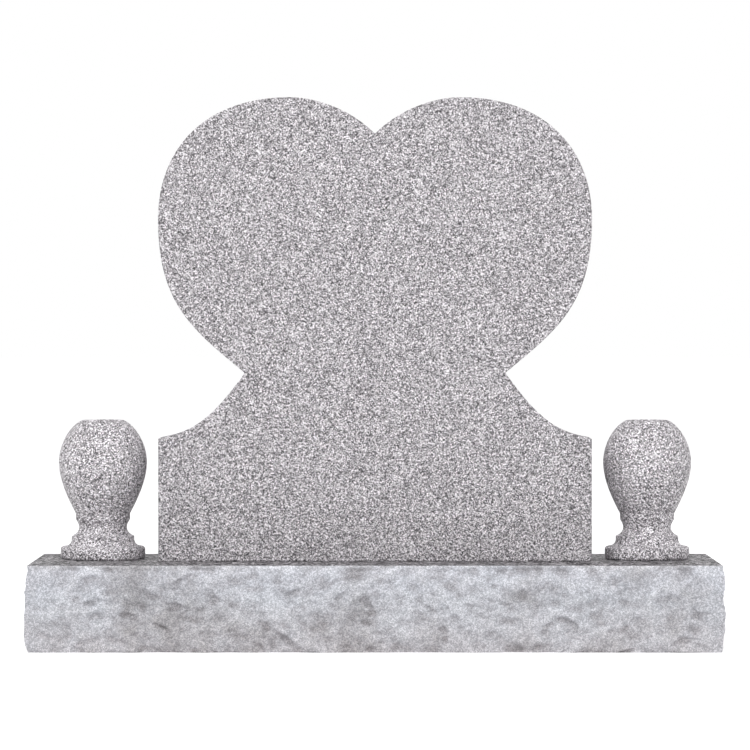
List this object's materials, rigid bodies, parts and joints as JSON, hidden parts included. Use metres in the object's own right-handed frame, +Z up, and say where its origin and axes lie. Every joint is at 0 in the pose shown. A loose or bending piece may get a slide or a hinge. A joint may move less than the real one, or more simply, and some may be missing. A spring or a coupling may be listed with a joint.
{
  "type": "heart headstone",
  "caption": "Grey granite memorial: an upright heart-topped tablet on a rock-pitched base, with a turned flower vase standing at each end.",
  "frame": {"origin": "centre of the underside of the base", "axes": "+Z up, +X to the right along the base seen from the front, and the front of the tablet faces -Y"},
  "size_m": [1.222, 0.372, 0.965],
  "materials": {
    "pitched_granite": "rock-pitched sides, smooth dark top",
    "honed_granite": "honed, speckled grey",
    "turned_granite": "turned and honed, speckled grey"
  },
  "bodies": {
    "root": {"base": "pitched_granite", "tablet": "honed_granite", "vase_left": "turned_granite", "vase_right": "turned_granite"}
  },
  "joints": []
}
